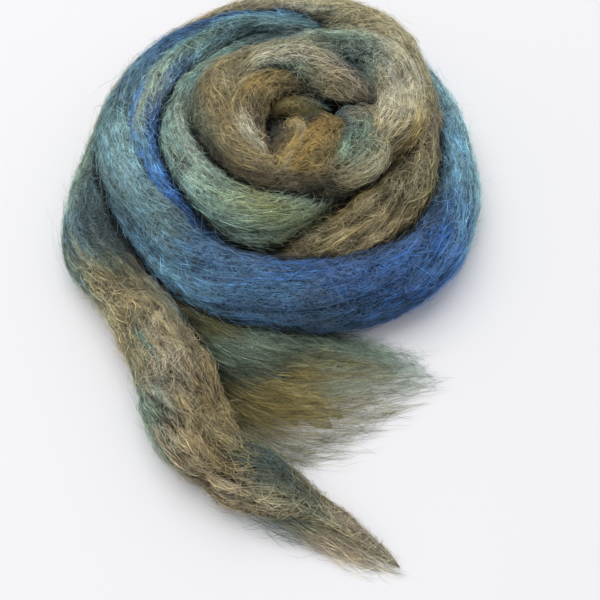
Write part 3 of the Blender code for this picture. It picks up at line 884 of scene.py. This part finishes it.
def strand_hairs(name, strand, turns, count, span, lengths, seed):
    """Fibres that lie on the open skin of a strand, most along it and some across it. turns are those that
    can cover it, and those whose gaps to it get painted shade."""
    rng = np.random.default_rng(seed)
    each, centre, angle, left_out = scattered(rng, strand, count, span)
    crosses = rng.random(each) < CROSS_SHARE
    length = rng.uniform(*lengths, each) * np.where(crosses, 0.65, 1.0)
    length = length * np.clip((centre + 6) / 35, 0.35, 1)
    t = np.linspace(-0.5, 0.5, LAID_STEPS)[None]
    lean = np.radians(rng.normal(0, 1, each) * np.where(crosses, 28, 8))
    along, half = centre + length * t * np.cos(lean), strand.half(centre)
    sideways = length * t * np.sin(lean) + waves(rng, each, length * t, 0.7, 15.0)
    around = angle + LAY_TWIST * (along - centre) + sideways / half
    around = around + strand.crimp(along, around) / half
    close = 0.05 + 0.35 * np.abs(rng.normal(0, 1, each))
    lift_end = rng.uniform(-0.6, 1.4, each) * (2 * np.abs(t)) ** 3
    above = close + lift_end + np.where(crosses, 0.8 * close * (1 - (2 * t) ** 2) + 0.15, 0.0)
    shown = Fibres(strand, turns, count, left_out, centre, angle, along, around, above)
    crosses, gap, painted_shading = crosses[shown.kept], shown.gap, shown.painted_shading
    painted_shading = np.where(crosses, 0.4 + 0.6 * painted_shading, painted_shading) * np.where(crosses, 0.12 + 0.88 * gap, gap)
    # Neighbours are light or dark together, in fine locks.
    columns = max(6, round(CLUMPS * strand.stations[:, 12:14].mean() / LAY_RADIUS))
    locks = soft_noise(strand.seed + 401, centre / 18, (angle - LAY_TWIST * centre) / TURN, columns)
    tint = np.clip(rng.normal(0.56 + 1.6 * (locks - 0.5), 0.15), 0, 1)[shown.kept]
    pale = np.where(crosses, rng.uniform(0.1, 0.7, crosses.shape), 0.0)
    return shown.piece(name, tint, pale, painted_shading, rng.uniform(*LAID_THICK, len(crosses)))


def strand_fuzz(name, strand, turns, count, span, seed):
    """Fine loose fibres that curl over a strand and stand off it, most short and some long."""
    rng = np.random.default_rng(seed)
    each, centre, angle, left_out = scattered(rng, strand, count, span)
    is_long = rng.random(each) < LONG_SHARE
    length = np.where(is_long, rng.uniform(18, 42, each), rng.uniform(7, 18, each))
    ahead, aside = curls(rng, each, length, 38, 0.9, FUZZ_STEPS)
    along, around = centre + ahead, angle + aside / strand.half(centre)
    t = np.linspace(0, 1, FUZZ_STEPS)[None]
    bow = rng.uniform(0.1, 1.6, each) * np.sin(math.pi * t)
    free_end = rng.gamma(1.5, np.where(is_long, 2.0, 0.9)) * t**2
    above = 0.15 + bow + free_end + np.abs(waves(rng, each, length * t, 0.4, 9.0))
    shown = Fibres(strand, turns, count, left_out, centre, angle, along, around, above)
    each = shown.gap.shape
    gap = np.where(rng.random(each) < GAP_SHARE, 0.5 + 0.5 * shown.gap, shown.gap)
    tint, pale = np.clip(rng.normal(0.65, 0.2, each), 0, 1), rng.uniform(0.3, 1.0, each)
    long_thick, short_thick = rng.uniform(*LONG_THICK, len(gap)), rng.uniform(*SHORT_THICK, len(gap))
    thick = np.where(is_long[shown.kept, 0], long_thick, short_thick)
    return shown.piece(name, tint, pale, (0.6 + 0.4 * shown.painted_shading) * gap, thick)


def loose_wisps(name, rows, first_share, last_share, count, seed):
    """Fibres alone, in a lock that the floor shows through. Its dyes are its strand's, between two shares of
    the strand's length."""
    rng = np.random.default_rng(seed)
    lock, each = Strand(rows, seed, (1.0, 1.0)), (count, 1)
    length = rng.uniform(18, 40, each)
    ahead, aside = curls(rng, each, length, 7, 0.35, FUZZ_STEPS)
    along = rng.uniform(0, lock.length - 12, each) + ahead
    middle, _, side, lift, half_wide, half_high = lock.read(along)
    angle, reach = rng.uniform(0, TURN, each), np.sqrt(rng.random(each))
    over = np.clip((along - lock.length) / 20, 0, 1)
    x = half_wide * (1 - 0.4 * over) * reach * np.cos(angle) + aside
    y = half_high * reach * np.sin(angle)
    paths = middle + x[..., None] * side + y[..., None] * lift
    paths[..., 2] = np.maximum(paths[..., 2], 0.15)
    share = last_share + (first_share - last_share) * np.clip(along / lock.length, 0, 1)
    tint, pale = rng.uniform(0.3, 1, each), rng.uniform(0, 0.5, each)
    layers = wool_layers(laid(along, angle), share, np.cos(angle), 1.0, tint, pale, np.ones_like(along))
    return hair_piece(name, paths, (0.0, 0.0, 1.0), rng.uniform(*WISP_THICK, count), layers)


# ---- The opened end ----

FAN_FINE = 97  # flow lines that the curve is read at
FAN_RUN = 146.0  # mm from root to tip
FAN_SWEEP = 2.2  # how much the fibres swing across it, away from the tail
FAN_BODY_REACH = 0.70  # how far along its solid wool ends, and single fibres go on
FAN_TONGUE = 0.19  # how much further its solid wool goes in the middle, and in its longest locks
VEIL = 2.0  # how pale its solid wool is where it thins out, more than 1 nearly white
FAN_ACROSS = 96
FAN_ALONG = 60
FAN_STEPS = 7
FAN_COVERED = 0.62  # how far along it the turns can cover it
FAN_COVERED_HIGH = 0.6  # the share of its height at which that is tested
FAN_CANDIDATES = 1.9  # how many of its fibres are tried for each one kept
# How many fibres, where along it their middles lie, how long (mm), how high in its loft, how curly and thick.
FanHair = namedtuple("FanHair", "count reach lengths levels wild thicks")


class Fan:
    """The opened end: flow lines side by side, u across from 0 to 1 and v along from 0 to 1."""

    def __init__(self, seed):
        self.flows = smooth_rows(FAN_FLOWS, FAN_FINE)
        self.flows[:, :6] += NEST_AT * 3
        self.seed = seed

    def read(self, u):
        return read_rows(np.clip(u, 0, 1) * (FAN_FINE - 1), np.arange(FAN_FINE), self.flows)

    def fibre(self, u, v):
        """Which fibre passes u at v: they all swing towards u = 1 and close up there."""
        return -np.log(np.maximum(1.1 - u, 0.05)) - FAN_SWEEP * v

    def top(self, u, v, ragged=0.0):
        """Points on the skin at u and v, and its painted shading there, darker in its furrows. Ragged is how
        uneven its end is.
        """
        u, v = np.broadcast_arrays(u, v)
        flow = self.read(u)
        root, knee, tip, high = flow[..., 0:2], flow[..., 2:4], flow[..., 4:6], flow[..., 6]
        lock = np.abs(np.sin(math.pi * FAN_LOCKS * self.fibre(u, v)))
        reach = 1 - ragged * (soft_noise(self.seed + 9, 0 * u, 0.5 * u, 12) - 0.5)
        t = (v * reach)[..., None]
        flat = (1 - t) ** 2 * root + 2 * t * (1 - t) * knee + t**2 * tip
        rim = np.sqrt(np.clip(1 - (2 * u - 1) ** FAN_RIM_POWER, 0, 1))
        inside = np.clip(v, 0, 1)
        swell = (1 - inside) ** 2 * FAN_ROOT_HIGH + 2.6 * inside * (1 - inside) * high
        across = 0.22 * self.fibre(u, v) + 0.03 * np.sin(5 * v + 6 * u)
        height, painted_shading = furrow_depth(self.seed, FAN_RUN * v, across, 1.9)
        furrow = 1 - FAN_FURROW * (1 - lock)
        loft = FAN_EDGE + rim * swell * furrow + 0.8 * height * np.clip(swell / 7, 0.1, 1.0)
        return np.concatenate([flat, loft[..., None]], -1), painted_shading


def fan_lay(fibre, v):
    """The grain of the opened end, along its fibres and across them, wrapped round as on a strand."""
    return laid(FAN_RUN * v, 0.42 * FAN_RUN * fibre / LAY_RADIUS)


def fan_piece(fan, near, v_first):
    """The opened end's solid wool, a thin pad that lies on the floor, from where it comes out from under the
    turns."""
    u = np.linspace(0, 1, FAN_ACROSS + 1)
    step = np.linspace(0, 1, FAN_ALONG + 1)[:, None]
    locks = soft_noise(fan.seed + 11, 0 * u, u, 30)
    v_last = FAN_BODY_REACH + FAN_TONGUE * (np.exp(-(((u - 0.45) / 0.3) ** 2)) + 0.4 * (locks - 0.5))
    v = v_first[None, :] + step * (v_last[None, :] - v_first[None, :])
    u = np.broadcast_to(u, v.shape)
    end = np.clip((v_last - v) / 0.3, 0, 1)
    thinning = np.clip(1 - (v_last - v) / 0.2, 0, 1) ** 1.5
    thin = (0.08 + 0.92 * np.sqrt(end)) * np.clip(0.25 + 12 * step, 0, 1)
    inset = (0.04 + 0.10 * soft_noise(fan.seed + 5, v * 14, 0 * v, 3)) * (1 - 2 * u)
    u = u + inset * np.clip(step * 3, 0, 1)
    top, painted_shading = fan.top(u, v, 0.16)
    top[..., 2] = np.maximum(top[..., 2] * thin, 0.25)
    painted_shading = painted_shading * painted_gap_shade(top, near)
    under = top.copy()
    under[..., 2] = 0.0
    rows, columns = u.shape
    points = np.concatenate([top.reshape(-1, 3), under.reshape(-1, 3)])
    index = np.arange(rows * columns).reshape(rows, columns)
    a, b, c, d = index[:-1, :-1], index[:-1, 1:], index[1:, 1:], index[1:, :-1]
    upper = np.stack([a, d, c, b], -1).reshape(-1, 4)
    lower = np.stack([a, b, c, d], -1).reshape(-1, 4) + rows * columns
    rim = np.concatenate([index[0, :-1], index[:-1, -1], index[-1, :0:-1], index[:0:-1, 0]])
    after = np.roll(rim, -1)
    wall = np.stack([rim, after, after + rows * columns, rim + rows * columns], -1)
    quads = np.concatenate([upper, lower, wall])
    tint, pale = BODY_SHADE_TINT + 0.5 * thinning, VEIL * thinning
    layers = wool_layers(fan_lay(fan.fibre(u, v), v), v, 2 * u - 1, 1.0, tint, pale, painted_shading)
    layers = {layer: np.tile(values.reshape(-1, 3), (2, 1)) for layer, values in layers.items()}
    place_u = np.stack([np.concatenate([u.ravel() / 2, 0.5 + u.ravel() / 2]), np.tile(v.ravel(), 2)], -1)
    return new_piece("fan_end_wool", points, quads, np.zeros((0, 3), int), layers, place_u[quads.ravel()])


def fan_hairs(name, fan, turns, hair, seed):
    """Fibres that sweep across the opened end, and go on past its solid wool in curly wisps."""
    rng = np.random.default_rng(seed)
    each = (int(hair.count * FAN_CANDIDATES), 1)
    u = rng.uniform(-0.03, 1.03, each)
    first, last = hair.reach
    v = first + (last - first) * rng.random(each) ** 1.3 * (0.87 + 0.13 * u)
    length = rng.uniform(*hair.lengths, each)
    ahead, aside = curls(rng, each, length, 9 * hair.wild, 0.5 * hair.wild, FAN_STEPS)
    run = v + ahead / FAN_RUN
    broad = 24 + 90 * np.clip(run, 0, 1.1)
    across = 1.1 - (1.1 - u) * np.exp(FAN_SWEEP * (v - run)) + aside / broad
    points, painted_shading = fan.top(across, run)
    flow = fan.read(across)
    beyond = np.clip(across, 0, 1) - across
    spread = (flow[..., 4:6] - flow[..., 0:2])[..., ::-1] * np.array([1, -1]) / FAN_RUN
    points[..., :2] += spread * (beyond * 90)[..., None]
    loft = points[..., 2] * np.clip((1.1 - run) / 0.45, 0.12, 1.0)
    level = rng.uniform(*hair.levels, each)
    lifted = np.clip(run, 0, 1) * np.abs(waves(rng, each, ahead, 0.5 * hair.wild, 12.0))
    points[..., 2] = loft * level + lifted + 0.1
    # It lies on the floor, so none of it counts as under the floor.
    raised = np.maximum(points, (-FAR * 10, -FAR * 10, FLOOR_SKIN + 0.01))
    kept = kept_open(raised, turns, hair.count)
    across, run, points, painted_shading = across[kept], run[kept], points[kept], painted_shading[kept]
    gap = painted_gap_shade(points[:, FAN_STEPS // 2], turns)[:, None]
    tint, pale = np.clip(rng.normal(0.5, 0.2, gap.shape), 0, 1), rng.uniform(0, 0.3, gap.shape)
    lay = fan_lay(fan.fibre(u, v)[kept], run)
    layers = wool_layers(lay, run, 2 * across - 1, 1.0, tint, pale, (0.4 + 0.6 * painted_shading) * gap)
    return hair_piece(name, points, (0.0, 0.0, 1.0), rng.uniform(*hair.thicks, len(kept)), layers)


# ---- Making it ----


def dress(pieces, material, node):
    for piece in pieces:
        piece.data.materials.append(material)
        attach(piece, "root")
        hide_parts(node)


def row_shares(strand, dyes):
    rows = np.interp([dye.row for dye in dyes], np.arange(len(strand.row_at)), strand.row_at)
    return rows / strand.length


# A wound strand: how many fibres lie on it and how long they are (mm), how many curl off it, the turns that
# it blends into with no painted gap shade, and the stretches of turns beside which it gets that shade all the
# same.
Wound = namedtuple("Wound", "name strand dyes hairs lengths fuzz blends_with also_near", defaults=((), ()))
JOINED = 8.0  # mm that the tail and the outer turn reach into each other


def make_nest(long_strand):
    """The nest's strands by name, and the long strand's material. The tail is that strand's first stretch."""
    # Where the outer turn runs down in front, and the swirl above it: painted gap shade parts them only here.
    bundle, swirl_front = Strand(OUTER_TURN[14:], 11), Strand(SWIRL_LOOP[3:9], 59)
    swirl = Strand(SWIRL_LOOP, 59, crinkle=((60, 330, 0.5),))
    crossing = Strand(CROSSING_LOCK, 61, (8, 8), ((0, 80, 0.6),))
    curl = Strand(INNER_CURL, 73, (8, 8), ((0, 80, 0.6),))
    slit = Strand(SLIT_LOCK, 79, (7, 7), ((0, 30, 0.6),))
    core = Strand(CORE_TUFT, 83, (8, 8), ((-10, 60, 1.3),))
    fold = Strand(FOLD_TUFT, 97, (8, 8), ((-10, 80, 1.0),))
    centre = ("outer_turn", "crossing_lock", "inner_curl", "core_tuft", "core_loop", "fold_tuft")
    in_curl, in_core = ("swirl_loop", "crossing_lock", "core_loop"), ("core_loop", "fold_tuft", "swirl_loop")
    wound = table(
        Wound,
        ("outer_turn", long_strand, LONG_DYES, 2500, (16, 38), 2500, ("swirl_loop",), (swirl_front,)),
        ("blue_ring", Strand(RING_TURN, 23), RING_DYES, 2600, (18, 42), 2900, ("inner_band",)),
        ("inner_band", Strand(INNER_BAND, 31, (8, 8)), BAND_DYES, 900, (18, 38), 500, ("blue_ring",)),
        ("mint_turn", Strand(MINT_TURN, 47), MINT_DYES, 1400, (16, 36), 1500),
        ("swirl_loop", swirl, SWIRL_DYES, 2000, (14, 32), 2200, centre, (bundle,)),
        ("crossing_lock", crossing, CROSSING_DYES, 500, (12, 26), 400, ("swirl_loop",)),
        ("inner_curl", curl, CURL_DYES, 500, (10, 22), 350, in_curl),
        ("slit_lock", slit, SLIT_DYES, 160, (8, 16), 120),
        ("core_tuft", core, CORE_DYES, 380, (8, 18), 480, in_core),
        ("core_loop", Strand(CORE_LOOP, 89, (6, 6)), LOOP_DYES, 140, (8, 16), 80, ("core_tuft", *in_curl)),
        ("fold_tuft", fold, FOLD_DYES, 380, (10, 20), 400, ("swirl_loop", "core_tuft")),
        ("heart", Strand(HEART, 101, (14, 14)), HEART_DYES, 0, (20, 40), 0),
    )
    strands = {w.name: w.strand for w in wound}
    for k, w in enumerate(wound):
        material = dyed_wool(w.name + "_dyes", w.dyes, row_shares(w.strand, w.dyes))
        others = {name: s for name, s in strands.items() if name not in (w.name, "heart")}
        near = [s for name, s in others.items() if name not in w.blends_with] + list(w.also_near)
        start, joined = 0, (0.0, 0.0)
        if w.strand is long_strand:
            start, joined, long_material = long_strand.row_at[JUNCTION_ROW], (JOINED, 0.0), material
        span = (start, w.strand.length)
        pieces = [tube_piece(w.name, w.strand, *span, near, joined, AROUND if w.hairs else HEART_AROUND)]
        if w.hairs:
            turns = (others.values(), near)
            pieces += [
                strand_hairs(w.name + "_fibres", w.strand, turns, w.hairs, span, w.lengths, 500 + k),
                strand_fuzz(w.name + "_fuzz", w.strand, turns, w.fuzz, span, 550 + k),
            ]
        dress(pieces, material, "nest")
    return strands, long_material


def make_tail(long_strand, ring, material):
    junction = long_strand.row_at[JUNCTION_ROW]
    turns, span = ((ring,), (ring,)), (4, junction)
    tail = tube_piece("tail_end_wool", long_strand, 0, junction, (ring,), (0.0, JOINED))
    hair = [
        strand_hairs("tail_end_fibres", long_strand, turns, 1700, span, (12, 26), 600),
        strand_fuzz("tail_end_fuzz", long_strand, turns, 1300, span, 601),
        loose_wisps("tail_end_wisps", TAIL_WISPS, 0.0, 60 / long_strand.length, 420, 602),
    ]
    dress([tail, *hair], material, "tail_end")
    return tail, hair


def make_fan(turns):
    """The opened end. Its solid wool starts where it comes out from under the turns."""
    fan = Fan(131)
    u, v = np.linspace(0, 1, FAN_ACROSS + 1), np.linspace(0, FAN_COVERED, FAN_ALONG)
    grid_u, grid_v = np.meshgrid(u, v, indexing="ij")
    points, _ = fan.top(grid_u, grid_v)
    points[..., 2] *= FAN_COVERED_HIGH
    v_first = (grid_v * (gap_to(points, turns) < -SINK)).max(1)
    v_first = np.convolve(np.pad(v_first, 4, mode="edge"), np.ones(9) / 9, mode="valid")
    material = dyed_wool("fan_end_dyes", FAN_DYES, [dye.row / FAN_ROWS for dye in FAN_DYES])
    body = fan_piece(fan, turns, v_first)
    sweeping = FanHair(2500, (0.22, 0.94), (14, 32), (0.85, 1.15), 2.3, (0.035, 0.065))
    flying = FanHair(3000, (0.66, 1.04), (12, 30), (0.1, 1.1), 3.0, (0.03, 0.055))
    hair = [
        fan_hairs("fan_end_fibres", fan, turns, sweeping, 700),
        fan_hairs("fan_end_wisps", fan, turns, flying, 701),
    ]
    dress([body, *hair], material, "fan_end")
    return body, hair


# ---- The room ----

VIEW_ABOVE = math.radians(55)  # the photograph's view: how steeply it looks down, from how far and at what
VIEW_AWAY = 375 * MM
VIEW_AIM = (12.6 * MM, -42.5 * MM, 0.0)
FLOOR_REACH = 4.0


def add_camera():
    camera = added("camera", bpy.data.cameras.new("camera"))
    to_camera = np.array([0, -math.cos(VIEW_ABOVE), math.sin(VIEW_ABOVE)])
    camera.location = VIEW_AIM + VIEW_AWAY * to_camera
    camera.rotation_euler = (math.pi / 2 - VIEW_ABOVE, 0, 0)
    camera.data.sensor_width = 36
    camera.data.lens = 48
    camera.data.clip_start = 0.01
    bpy.context.scene.camera = camera


def add_light():
    """A bright overcast room: soft light from all round, and a wide window high behind on the left."""
    world = bpy.data.worlds.new("soft_room")
    world.use_nodes = True
    background = world.node_tree.nodes["Background"]
    background.inputs["Color"].default_value = (0.96, 0.97, 1.0, 1)
    background.inputs["Strength"].default_value = 0.66
    bpy.context.scene.world = world
    window = added("window", bpy.data.lights.new("window", "AREA"))
    window.data.shape = "RECTANGLE"
    window.data.size = 3.2
    window.data.size_y = 2.6
    window.data.energy = 52
    window.location = (-0.6, 0.9, 2.6)
    window.rotation_euler = (-window.location).to_track_quat("-Z", "Y").to_euler()


def add_floor():
    mesh = bpy.data.meshes.new("floor")
    corners = [(x * FLOOR_REACH, y * FLOOR_REACH, 0) for x, y in ((-1, -1), (1, -1), (1, 1), (-1, 1))]
    mesh.from_pydata(corners, [], [(0, 1, 2, 3)])
    mesh.materials.append(floor_material())
    added("floor", mesh)


TIP_LEFT = 19.0  # mm at the tail's tip where the wool is too thin to measure

add_camera()
add_light()
add_floor()
bpy.context.scene.view_settings.view_transform = "Standard"
long_strand = Strand(LONG_STRAND, 11, (9.0, 12.0), crinkle=((50, 185, 1.2), (470, 680, 1.2)))
strands, long_material = make_nest(long_strand)
tail, tail_hair = make_tail(long_strand, strands["blue_ring"], long_material)
fan_body, fan_hair = make_fan(strands.values())

junction = long_strand.row_at[JUNCTION_ROW]
tail_path = long_strand.read(np.linspace(junction, TIP_LEFT, 60))[0] * MM
